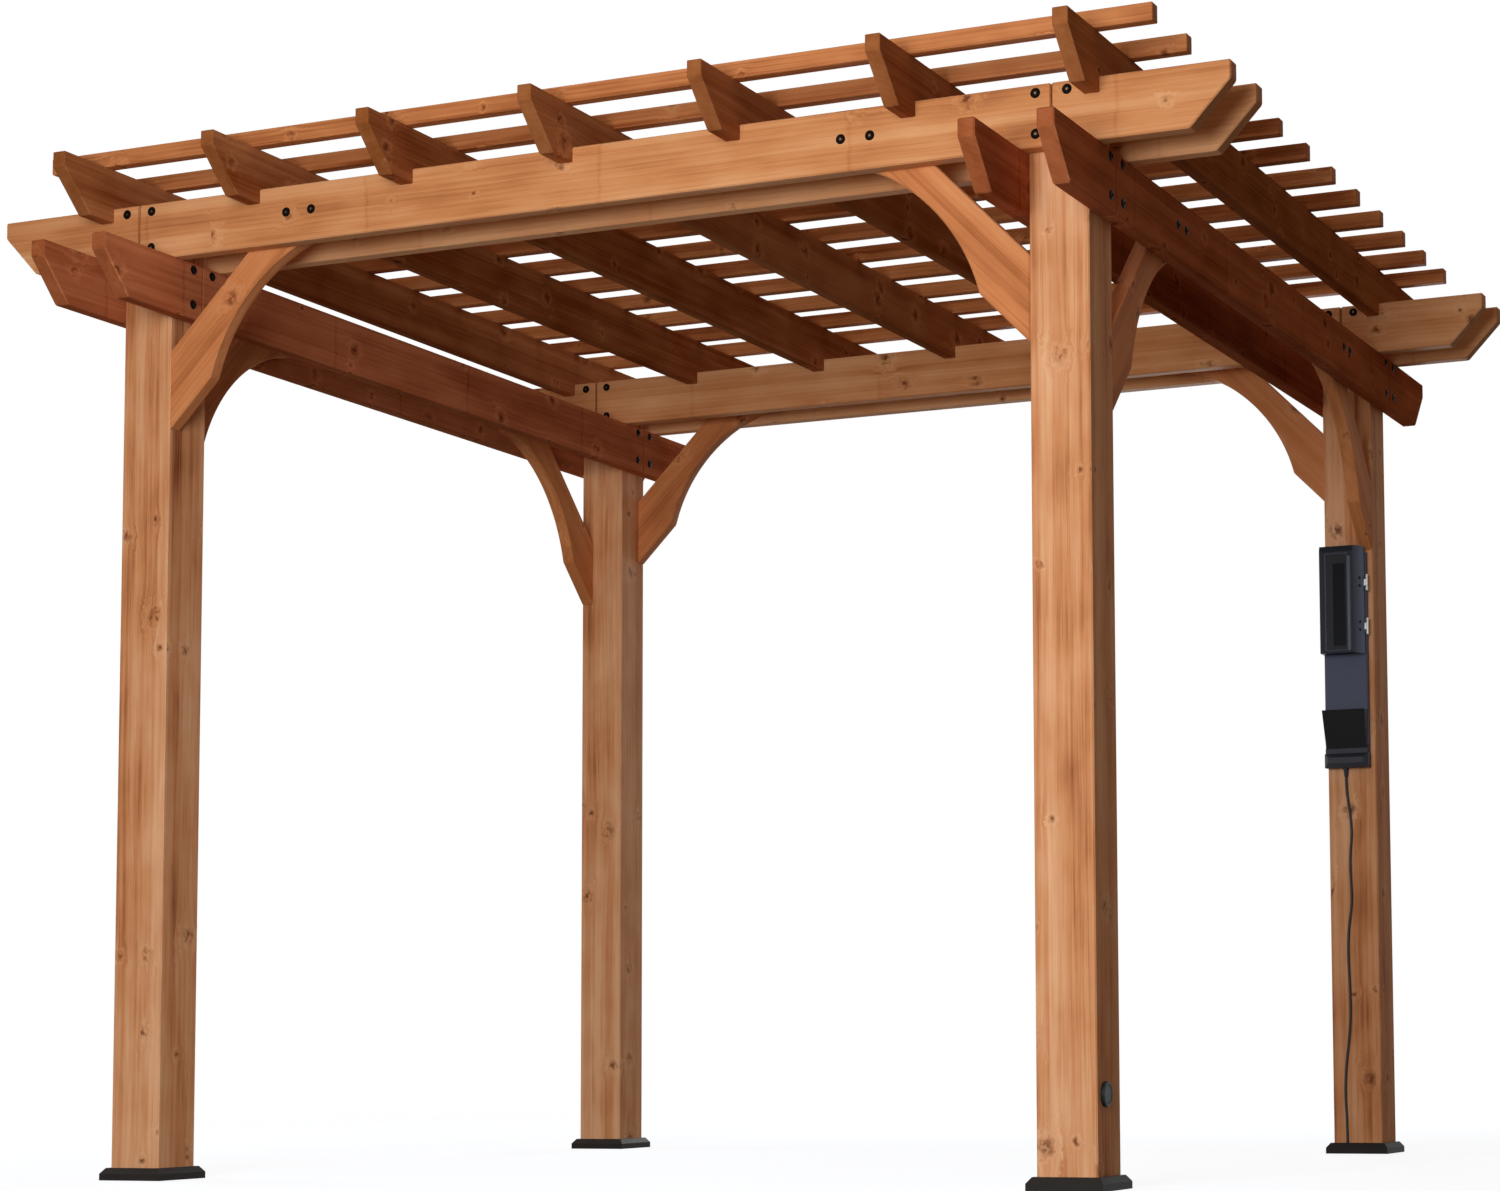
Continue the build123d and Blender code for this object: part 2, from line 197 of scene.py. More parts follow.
def stamped_mesh(name: str, pattern: np.ndarray, places: np.ndarray) -> bpy.types.Mesh:
    """Repeat a closed ring pattern at many places in one mesh.

    A point of copy c is places[c] times the pattern's point with a one behind it. The rings run
    from the middle of the top outwards and down, so that the faces point outwards, and the first
    and last ring are closed by a cap.

    Args:
        name: Name of the mesh.
        pattern: Points of one copy, rings by columns by three, in metres.
        places: One 3 by 4 matrix for each copy.

    Returns:
        A mesh of all quads, ring by ring and copy by copy, then all top caps, then all low caps.
    """
    rings, columns = pattern.shape[:2]
    flat = np.concatenate([pattern.reshape(-1, 3), np.ones((rings * columns, 1))], axis=1)
    points = np.einsum("cij,pj->cpi", places, flat).reshape(-1, 3)
    index = np.arange(rings * columns).reshape(rings, columns)
    ahead = np.roll(index, -1, axis=1)
    quads = np.stack([index[:-1], index[1:], ahead[1:], ahead[:-1]], axis=-1).reshape(-1, 4)
    copies = np.arange(len(places))[:, None] * rings * columns
    faces = (quads[None] + copies[:, :, None]).reshape(-1, 4).tolist()
    faces += (index[0] + copies).tolist()
    faces += (index[-1][::-1] + copies).tolist()
    mesh = bpy.data.meshes.new(name)
    mesh.from_pydata(points.tolist(), [], faces)
    mesh.update()
    return mesh


# Finishes


class Grain(Enum):
    """Way that the fibres of a board run."""

    ALONG_X = (1.0, 0.0, 0.0)
    ALONG_Y = (0.0, 1.0, 0.0)
    UPRIGHT = (0.0, 0.0, 1.0)
    RISING_X = (1.0, 0.0, 1.0)
    FALLING_X = (-1.0, 0.0, 1.0)
    RISING_Y = (0.0, 1.0, 1.0)
    FALLING_Y = (0.0, -1.0, 1.0)

    def turn(self) -> Point:
        """Euler angles that turn the fibres to +X."""
        fibres = Vector(self.value).normalized()
        return tuple(fibres.rotation_difference(Vector((1, 0, 0))).to_euler())


@dataclass(frozen=True)
class StainAndShadeCoat:
    """How the stain took on one kind of board, with painted shade in the darker tone of boards
    whose seen faces lie in shade.
    """

    tone: float = 0.0  # lighter above zero, darker below
    contrast: float = 1.0
    tint: str = "#FFFFFF"
    gloss: float = 0.06
    jointed: bool = False  # finger-jointed from short lengths


@dataclass(frozen=True)
class CedarStain:
    """Cedar-coloured semi-transparent stain on planed, finger-jointed softwood.

    The stain gives the eye a warm orange brown with long darker bands and streaks, soft ring
    lines, small broken knots with a paler ring that the fibres run round, and slight steps of
    tone from one jointed length to the next.
    """

    light: str = "#E6B389"
    middle: str = "#CC8C5E"
    dark: str = "#84431F"
    knot: str = "#5A2510"
    end_grain: str = "#8F552B"
    ramp_ends: tuple[float, float] = (0.1, 0.9)  # levels of the dark and the light colour

    # Figure
    ring_mm: float = 12.0
    band_mm: float = 44.0
    streak_mm: float = 15.0
    fibre_mm: float = 3.0  # real fibres are finer; drawn at 3 mm so that they show
    pith_bend_m: float = 0.05  # how far a slow noise bends the rings
    joint_run_mm: float = 640.0
    joint_waver: float = 0.03  # unevenness of a finger joint, over the jointed length
    joint_sharpness: float = 16000.0
    end_grain_from: float = 0.6  # part of the normal along the fibres where end grain begins
    end_grain_cover: float = 0.6

    # Parts of each layer in the level of tone; the rings' late wood is the darker
    band_part: float = 0.95
    streak_part: float = 0.48
    fibre_part: float = 0.40
    cloud_part: float = 0.75
    ring_part: float = -0.07
    joint_part: float = 0.07
    joint_line_part: float = 0.08
    halo_part: float = 0.10

    # Knots; distances are over the knot's radius
    knot_run_mm: float = 250.0
    knot_row_mm: float = 62.0
    knot_radius_mm: float = 12.0
    knot_scatter: float = 0.95
    knot_share: float = 0.36  # of the cells, those that hold a knot
    knot_unevenness: float = 1.8
    knot_gaps: tuple[float, float] = (0.40, 0.56)  # noise between these breaks up the core
    knot_cover: float = 0.85
    core_sharpness: float = 1.1
    halo_distance: float = 1.7
    halo_sharpness: float = 3.0
    swirl_sharpness: float = 0.15
    swirl_pull: float = 0.75

    # Waves of each noise for each metre, along and across the fibres
    edge_waves: tuple[float, float] = (75.0, 75.0)
    gap_waves: tuple[float, float] = (60.0, 90.0)
    bend_waves: tuple[float, float] = (1.3, 6.0)
    cloud_waves: tuple[float, float] = (4.5, 12.0)
    joint_waves: tuple[float, float] = (30.0, 30.0)
    band_run: float = 0.4
    streak_run: float = 0.8
    fibre_run: float = 5.0

    # Surface
    ior: float = 1.45
    bump: float = 0.4
    bump_mm: float = 0.8
    roughness: float = 0.52
    streak_roughness: float = 0.16
    fibre_height: float = 0.6
    ring_height: float = -0.3
    core_height: float = 0.8

    # Where a board lies in the log, in metres along, beside and above the pith
    along_log: tuple[float, float] = (-9.0, 9.0)
    beside_pith: tuple[float, float] = (0.05, 0.12)
    above_pith: tuple[float, float] = (0.02, 0.09)

    def figure(self) -> bpy.types.NodeTree:
        """Build the shared node group of the wood figure.

        Knots: in-plane distance from the nearest cell point, seen along the face's normal, over
        the knot's radius. The pattern is drawn towards that point by a bell of that distance, so
        the fibres part round the knot. Rings: the distance from the pith, bent by a slow noise,
        goes through a sine with one period for each ring. The level of tone is one half plus the
        board's tone plus the contrast times the sum of each layer's part times its value less
        one half.

        Returns:
            A group from board coordinates, normal and tone to colour, height and roughness.
        """
        tree = bpy.data.node_groups.new("cedar_figure", "ShaderNodeTree")
        taken = (
            ("Board", "Vector"),
            ("Normal", "Vector"),
            ("Tone", "Float"),
            ("Contrast", "Float"),
            ("Jointed", "Float"),
            ("Stain", "Color"),
        )
        given = (("Color", "Color"), ("Height", "Float"), ("Roughness", "Float"))
        for way, sockets in (("INPUT", taken), ("OUTPUT", given)):
            for name, kind in sockets:
                tree.interface.new_socket(name, in_out=way, socket_type="NodeSocket" + kind)
        source = tree.nodes.new("NodeGroupInput")
        board, normal, tone, contrast, jointed, stain = list(source.outputs)[: len(taken)]

        def calc(kind: str, *values: object) -> bpy.types.NodeSocket:
            """Result of one Math node."""
            return add(tree, "Math", {"operation": kind}, dict(enumerate(values))).outputs[0]

        def vector(kind: str, *values: object) -> bpy.types.Node:
            """One Vector Math node."""
            return add(tree, "VectorMath", {"operation": kind}, dict(enumerate(values)))

        def scaled(value: object, factor: object) -> bpy.types.NodeSocket:
            """Vector times a number."""
            parts = {0: value, "Scale": factor}
            return add(tree, "VectorMath", {"operation": "SCALE"}, parts).outputs[0]

        def noise(
            spot: object, run: float, across: float, detail: float = 2.0
        ) -> bpy.types.NodeSocket:
            """Noise, zero to one, with so many waves for each metre along and across."""
            stretched = vector("MULTIPLY", spot, (run, across, across)).outputs[0]
            settings = {"Vector": stretched, "Scale": 1.0, "Detail": detail}
            return add(tree, "TexNoise", None, settings).outputs[0]

        def bell(value: object, middle: float, sharpness: float) -> bpy.types.NodeSocket:
            """One at the middle, falling to zero on both sides."""
            gap = calc("SUBTRACT", value, middle)
            return calc("EXPONENT", calc("MULTIPLY", calc("MULTIPLY", gap, gap), -sharpness))

        def blend(
            factor: object, first: object, second: object, how: str = "MIX"
        ) -> bpy.types.NodeSocket:
            """Mix of two colours by a factor."""
            settings = {"data_type": "RGBA", "blend_type": how}
            return add(tree, "Mix", settings, {0: factor, 6: first, 7: second}).outputs[2]

        row = self.knot_row_mm * MM
        cell_size = (self.knot_run_mm * MM, row, row)
        cells = vector("DIVIDE", board, cell_size).outputs[0]
        scatter = {"Vector": cells, "Scale": 1.0, "Randomness": self.knot_scatter}
        cell = add(tree, "TexVoronoi", None, scatter)
        aside = vector("SUBTRACT", cells, cell.outputs["Position"]).outputs[0]
        away = vector("MULTIPLY", aside, cell_size).outputs[0]
        deep = vector("DOT_PRODUCT", away, normal).outputs["Value"]
        across = vector("SUBTRACT", away, scaled(normal, deep)).outputs[0]
        chance = add(tree, "SeparateColor", None, {"Color": cell.outputs["Color"]})
        radius = calc("MULTIPLY", calc("ADD", chance.outputs[1], 0.5), self.knot_radius_mm * MM)
        rough_edge = calc("SUBTRACT", noise(board, *self.edge_waves), 0.5)
        ragged = calc("MULTIPLY_ADD", rough_edge, self.knot_unevenness, 1.0)
        distance = vector("LENGTH", across).outputs["Value"]
        reach = calc("DIVIDE", calc("MULTIPLY", distance, ragged), radius)
        kept = calc("LESS_THAN", chance.outputs[0], self.knot_share)
        swirl = calc("MULTIPLY", kept, bell(reach, 0.0, self.swirl_sharpness))
        closed, whole = self.knot_gaps
        gaps = {0: noise(board, *self.gap_waves), 1: closed, 2: whole}
        broken = add(tree, "MapRange", None, gaps).outputs[0]
        core_bell = bell(reach, 0.0, self.core_sharpness)
        core = calc("MULTIPLY", calc("MULTIPLY", kept, broken), core_bell)
        halo = calc("MULTIPLY", kept, bell(reach, self.halo_distance, self.halo_sharpness))

        pull = scaled(across, calc("MULTIPLY", swirl, self.swirl_pull))
        parted = vector("SUBTRACT", board, pull).outputs[0]
        slow = calc("SUBTRACT", noise(parted, *self.bend_waves), 0.5)
        bend = calc("MULTIPLY", slow, self.pith_bend_m)
        parts = add(tree, "SeparateXYZ", None, {"Vector": parted})
        side = calc("ADD", parts.outputs[1], bend)
        squares = calc("ADD", calc("MULTIPLY", side, side), calc("POWER", parts.outputs[2], 2.0))
        pith = calc("SQRT", squares)
        wave = calc("SINE", calc("MULTIPLY", pith, 2 * math.pi / (self.ring_mm * MM)))
        rings = calc("POWER", calc("MULTIPLY_ADD", wave, 0.5, 0.5), 2.0)

        band = noise(parted, self.band_run, 1 / (self.band_mm * MM), 1.0)
        streak = noise(parted, self.streak_run, 1 / (self.streak_mm * MM), 2.0)
        fibre = noise(parted, self.fibre_run, 1 / (self.fibre_mm * MM), 1.0)
        cloud = noise(board, *self.cloud_waves, 3.0)
        waver = calc("MULTIPLY", noise(board, *self.joint_waves), self.joint_waver)
        length = calc("ADD", calc("DIVIDE", parts.outputs[0], self.joint_run_mm * MM), waver)
        number = calc("MULTIPLY", jointed, calc("FLOOR", calc("ADD", length, 0.5)))
        step = {"noise_dimensions": "1D"}
        joint = add(tree, "TexWhiteNoise", step, {"W": number}).outputs[0]
        line = calc("MULTIPLY", jointed, bell(calc("FRACT", length), 0.5, self.joint_sharpness))

        total = calc("MULTIPLY", calc("SUBTRACT", joint, 0.5), self.joint_part)
        layers = (
            (self.band_part, band),
            (self.streak_part, streak),
            (self.fibre_part, fibre),
            (self.cloud_part, cloud),
            (self.ring_part, rings),
        )
        for part, value in layers:
            total = calc("MULTIPLY_ADD", calc("SUBTRACT", value, 0.5), part, total)
        level = calc("MULTIPLY_ADD", total, contrast, calc("ADD", tone, 0.5))
        level = calc("SUBTRACT", level, calc("MULTIPLY", line, self.joint_line_part))
        level = calc("ADD", level, calc("MULTIPLY", halo, self.halo_part))
        ramp = add(tree, "ValToRGB", None, {"Fac": level})
        low, high = ramp.color_ramp.elements
        low.position, high.position = self.ramp_ends
        low.color = linear(self.dark)
        high.color = linear(self.light)
        ramp.color_ramp.elements.new(0.5).color = linear(self.middle)

        stained = blend(1.0, ramp.outputs[0], stain, "MULTIPLY")
        knotty = blend(calc("MULTIPLY", core, self.knot_cover), stained, linear(self.knot))
        along = add(tree, "SeparateXYZ", None, {"Vector": normal}).outputs[0]
        is_end = calc("GREATER_THAN", calc("ABSOLUTE", along), self.end_grain_from)
        ends = calc("MULTIPLY", is_end, self.end_grain_cover)
        colour = blend(ends, knotty, blend(1.0, linear(self.end_grain), stain, "MULTIPLY"))

        ring_relief = calc("MULTIPLY", rings, self.ring_height)
        height = calc("MULTIPLY_ADD", fibre, self.fibre_height, ring_relief)
        height = calc("SUBTRACT", height, calc("MULTIPLY", core, self.core_height))
        rough = calc("MULTIPLY_ADD", streak, self.streak_roughness, self.roughness)
        sink = tree.nodes.new("NodeGroupOutput")
        for (name, _), value in zip(given, (colour, height, rough)):
            tree.links.new(value, sink.inputs[name])
        return tree

    def material(
        self,
        name: str,
        group: bpy.types.NodeTree,
        grain: Grain,
        seed: int,
        coat: StainAndShadeCoat,
        tone: float,
    ) -> bpy.types.Material:
        """Finish of one board.

        Args:
            name: Name of the material.
            group: Shared figure group.
            grain: Way that the fibres run.
            seed: Number that moves the figure, so that boards differ.
            coat: How the stain took on this kind of board, with any painted shade.
            tone: Lighter above zero, darker below, on top of the coat's tone.

        Returns:
            The material.
        """
        material, tree, shader = new_material(name)
        rng = np.random.default_rng(seed)
        ranges = (self.along_log, self.beside_pith, self.above_pith)
        shift = tuple(float(rng.uniform(low, high)) for low, high in ranges)
        turn = grain.turn()
        spot = add(tree, "TexCoord").outputs["Object"]
        board = add(tree, "Mapping", None, {"Vector": spot, "Rotation": turn, "Location": shift})
        normal = add(tree, "NewGeometry").outputs["True Normal"]
        way = {"vector_type": "VECTOR"}
        turned = add(tree, "Mapping", way, {"Vector": normal, "Rotation": turn})
        values = {
            "Board": board.outputs[0],
            "Normal": turned.outputs[0],
            "Tone": coat.tone + tone,
            "Contrast": coat.contrast,
            "Jointed": float(coat.jointed),
            "Stain": linear(coat.tint),
        }
        figure = add(tree, "Group", {"node_tree": group}, values)
        relief = {"Strength": self.bump, "Distance": self.bump_mm * MM}
        bump = add(tree, "Bump", None, relief | {"Height": figure.outputs["Height"]})
        tree.links.new(figure.outputs["Color"], shader.inputs["Base Color"])
        tree.links.new(figure.outputs["Roughness"], shader.inputs["Roughness"])
        tree.links.new(bump.outputs[0], shader.inputs["Normal"])
        shader.inputs["IOR"].default_value = self.ior
        shader.inputs["Specular IOR Level"].default_value = coat.gloss
        return material


@dataclass(frozen=True)
class GrainedPlastic:
    """Moulded plastic, such as ABS or polypropylene, with a fine spark-eroded grain.

    The mould's grain breaks gloss into a soft sheen, and edges and flats differ a little in tone;
    on the lid, the lighter flank is a painted reflection.
    """

    name: str
    colour: str
    worn: str
    roughness: float = 0.5
    grain_mm: float = 1.4  # real grain is near 0.3 mm; drawn coarser so that it shows
    depth_mm: float = 0.12
    gloss: float = 0.25
    second: str = ""  # colour beyond an edge across one axis; the lid's lighter flank beyond it is a painted reflection
    axis: int = 0
    edge_m: tuple[float, float] = (0.0, 1.0)
    spread: float = 0.08  # of the roughness, to both sides
    patches: float = 14.0  # for each metre
    bump: float = 0.5
    ior: float = 1.5

    def material(self) -> bpy.types.Material:
        """Build the material."""
        material, tree, shader = new_material(self.name)
        spot = add(tree, "TexCoord").outputs["Object"]
        grain = {"Vector": spot, "Scale": 1 / (self.grain_mm * MM), "Detail": 2.0}
        fine = add(tree, "TexNoise", None, grain).outputs[0]
        patch = {"Vector": spot, "Scale": self.patches, "Detail": 3.0}
        broad = add(tree, "TexNoise", None, patch).outputs[0]
        shades = {0: broad, 6: linear(self.colour), 7: linear(self.worn)}
        mixed = add(tree, "Mix", {"data_type": "RGBA"}, shades).outputs[2]
        if self.second:
            along = add(tree, "SeparateXYZ", None, {"Vector": spot}).outputs[self.axis]
            start, end = self.edge_m
            past = add(tree, "MapRange", None, {0: along, 1: start, 2: end}).outputs[0]
            shades = {0: past, 6: mixed, 7: linear(self.second)}
            mixed = add(tree, "Mix", {"data_type": "RGBA"}, shades).outputs[2]
        low, high = self.roughness - self.spread, self.roughness + self.spread
        rough = add(tree, "MapRange", None, {"Value": fine, "To Min": low, "To Max": high})
        relief = {"Strength": self.bump, "Distance": self.depth_mm * MM, "Height": fine}
        bump = add(tree, "Bump", None, relief)
        tree.links.new(mixed, shader.inputs["Base Color"])
        tree.links.new(rough.outputs[0], shader.inputs["Roughness"])
        tree.links.new(bump.outputs[0], shader.inputs["Normal"])
        shader.inputs["IOR"].default_value = self.ior
        shader.inputs["Specular IOR Level"].default_value = self.gloss
        return material


@dataclass(frozen=True)
class CoatedSteel:
    """Steel with a black or zinc coating: metal sheen under fine scratches and smudges."""

    name: str
    colour: str
    metallic: float
    roughness: float
    gloss: float = 0.5
    smoother: float = 0.1  # least roughness, below the middle one
    rougher: float = 0.12  # greatest roughness, above the middle one
    smudge_mm: float = 6.25
    bump: float = 0.2
    bump_mm: float = 0.1

    def material(self) -> bpy.types.Material:
        """Build the material."""
        material, tree, shader = new_material(self.name)
        spot = add(tree, "TexCoord").outputs["Object"]
        marks = {"Vector": spot, "Scale": 1 / (self.smudge_mm * MM), "Detail": 3.0}
        smudge = add(tree, "TexNoise", None, marks).outputs[0]
        low, high = self.roughness - self.smoother, self.roughness + self.rougher
        rough = add(tree, "MapRange", None, {"Value": smudge, "To Min": low, "To Max": high})
        tree.links.new(rough.outputs[0], shader.inputs["Roughness"])
        shader.inputs["Base Color"].default_value = linear(self.colour)
        shader.inputs["Metallic"].default_value = self.metallic
        shader.inputs["Specular IOR Level"].default_value = self.gloss
        relief = {"Strength": self.bump, "Distance": self.bump_mm * MM, "Height": smudge}
        bump = add(tree, "Bump", None, relief)
        tree.links.new(bump.outputs[0], shader.inputs["Normal"])
        return material


# Sub-assemblies


@dataclass
class Timber:
    """Posts, beam boards, rafters, slats and knee braces, dressed board by board."""

    stain: CedarStain = field(default_factory=CedarStain)
    spread: float = 0.06  # of the tone from board to board, to both sides
    draw: int = 11
    post: StainAndShadeCoat = StainAndShadeCoat(tone=0.09, contrast=1.1)
    cross_board: StainAndShadeCoat = StainAndShadeCoat(tone=0.14, contrast=0.7, tint="#FFFBF0", jointed=True)
    # Side boards, rafters and slats are darker than posts and cross boards, the side boards also
    # pinker: painted shade, for the faces seen of them lie in shade.
    side_board: StainAndShadeCoat = StainAndShadeCoat(
        tone=-0.18, contrast=0.45, tint="#FFE8EE", gloss=0.0, jointed=True
    )
    rafter: StainAndShadeCoat = StainAndShadeCoat(tone=-0.27, contrast=0.4, gloss=0.0)
    slat: StainAndShadeCoat = StainAndShadeCoat(tone=-0.14, contrast=0.8, tint="#FFF2E2")
    brace: StainAndShadeCoat = StainAndShadeCoat(tone=0.0, contrast=0.55, tint="#FFF0E0")

    def coat_of(self, node: str) -> tuple[Grain, StainAndShadeCoat] | None:
        """Fibres and coat of a node, or nothing for a node of another stuff."""
        left = node.endswith("left")
        front = "front" in node
        boards = {
            "post": (Grain.UPRIGHT, self.post),
            "cross_beam": (Grain.ALONG_X, self.cross_board),
            "slat": (Grain.ALONG_X, self.slat),
            "side_beam": (Grain.ALONG_Y, self.side_board),
            "rafter": (Grain.ALONG_Y, self.rafter),
            "cross_brace": (Grain.RISING_X if left else Grain.FALLING_X, self.brace),
            "side_brace": (Grain.RISING_Y if front else Grain.FALLING_Y, self.brace),
        }
        return next((found for start, found in boards.items() if node.startswith(start)), None)

    def dress(self, nodes: dict[str, bpy.types.Object]) -> None:
        """Give each board its own finish."""
        group = self.stain.figure()
        rng = np.random.default_rng(self.draw)
        for seed, (name, piece) in enumerate(sorted(nodes.items())):
            found = self.coat_of(name)
            if found is None:
                continue
            grain, coat = found
            tone = float(rng.uniform(-self.spread, self.spread))
            finish = self.stain.material("cedar_" + name, group, grain, seed, coat, tone)
            set_finish(piece, finish)
            LOG.info("%s: stained, %s", name, grain.name.lower())


@dataclass
class Bolts:
    """Black socket bolts through the beam boards."""

    post_x: float = 1.216
    post_y: float = 1.112
    half_pair: float = 0.110  # middle of the post to the outer face of a board
    spread: float = 0.037  # middle of the post to a row of bolts
    cross_levels: tuple[float, float] = (2.381, 2.290)
    side_levels: tuple[float, float] = (2.243, 2.156)
    cross_brace_x: tuple[float, float] = (0.780, 0.708)
    cross_brace_z: float = 2.335
    side_brace_y: tuple[float, float] = (0.650, 0.706)
    side_brace_z: float = 2.200
    turn_step: float = 0.7  # radians from the socket of one bolt to the next
    columns: int = 24
    middle_mm: float = 0.05  # radius of the innermost ring, so that its cap isn't a point
    socket_wall: tuple[tuple[float, float], ...] = ((3.4, 0.6), (3.4, 3.2))
    head: tuple[tuple[float, float], ...] = (
        (5.2, 3.6),
        (8.0, 3.0),
        (9.6, 1.6),
        (9.8, 0.4),
        (11.6, 0.3),
        (11.8, -0.6),
    )

    def pattern(self) -> np.ndarray:
        """Points of one bolt about +Z: floor of the socket, its wall, then the head and washer.

        Each ring has a radius and a height in millimetres. The two socket rings follow a
        hexagon, whose radius is its flat distance over the cosine of the angle from the nearest
        flat's middle.
        """
        angle = np.arange(self.columns) * 2 * np.pi / self.columns
        hexagon = 1 / np.cos((angle % (np.pi / 3)) - np.pi / 6)
        circle = np.ones_like(angle)
        floor = ring(self.middle_mm, self.socket_wall[0][1], circle, angle)
        wall = [ring(radius, height, hexagon, angle) for radius, height in self.socket_wall]
        head = [ring(radius, height, circle, angle) for radius, height in self.head]
        return np.stack([floor, *wall, *head]) * MM

    def places(self) -> np.ndarray:
        """Place matrices of all bolts, their heads turned outwards."""
        spots: list[tuple[Point, Point]] = []
        cross_out, cross_in = self.post_y + self.half_pair, self.post_y - self.half_pair
        side_out, side_in = self.post_x + self.half_pair, self.post_x - self.half_pair
        for sx in (-1, 1):
            for sy in (-1, 1):
                for step in (-1, 1):
                    for z in self.cross_levels:
                        x = sx * self.post_x + step * self.spread
                        spots.append(((x, sy * cross_out, z), (0, sy, 0)))
                        spots.append(((x, sy * cross_in, z), (0, -sy, 0)))
                    for z in self.side_levels:
                        y = sy * self.post_y + step * self.spread
                        spots.append(((sx * side_out, y, z), (sx, 0, 0)))
                        spots.append(((sx * side_in, y, z), (-sx, 0, 0)))
                for x in self.cross_brace_x:
                    spots.append(((sx * x, sy * cross_out, self.cross_brace_z), (0, sy, 0)))
                for y in self.side_brace_y:
                    spots.append(((sx * side_out, sy * y, self.side_brace_z), (sx, 0, 0)))
        counted = enumerate(spots)
        return np.stack([place(spot, out, self.turn_step * i) for i, (spot, out) in counted])

    def build(self, material: bpy.types.Material, socket: bpy.types.Material) -> None:
        """Make all bolts as one piece, with the floors of their sockets in brownish metal: real
        metal sheen with a painted glint, its tint a painted reflection of the wood.
        """
        pattern = self.pattern()
        places = self.places()
        mesh = stamped_mesh("bolts", pattern, places)
        floor_quads = np.repeat(np.arange(len(pattern) - 1) == 0, self.columns)
        caps = np.repeat([True, False], len(places))
        glint_floor = np.concatenate([np.tile(floor_quads, len(places)), caps])
        new_piece("bolts", mesh, "frame", material)
        mesh.materials.append(socket)
        mesh.polygons.foreach_set("material_index", glint_floor.astype(np.int32))
        mesh.update()


@dataclass
class Badge:
    """Bare round plate with a groove, low on the outer face of the front right post."""

    spot: Point = (1.286, -1.135, 0.205)
    columns: int = 48
    profile: tuple[tuple[float, float], ...] = (
        (0.5, 7.6),
        (18.5, 7.8),
        (19.8, 6.8),
        (21.0, 8.2),
        (24.5, 8.4),
        (26.8, 7.2),
        (27.5, 5.0),
        (27.5, -0.5),
    )

    def build(self, material: bpy.types.Material) -> None:
        """Make the plate about +X."""
        pattern = turned_pattern(list(self.profile), self.columns)
        mesh = stamped_mesh("round_plate", pattern, place(self.spot, (1, 0, 0))[None])
        new_piece("round_plate", mesh, "frame", material)


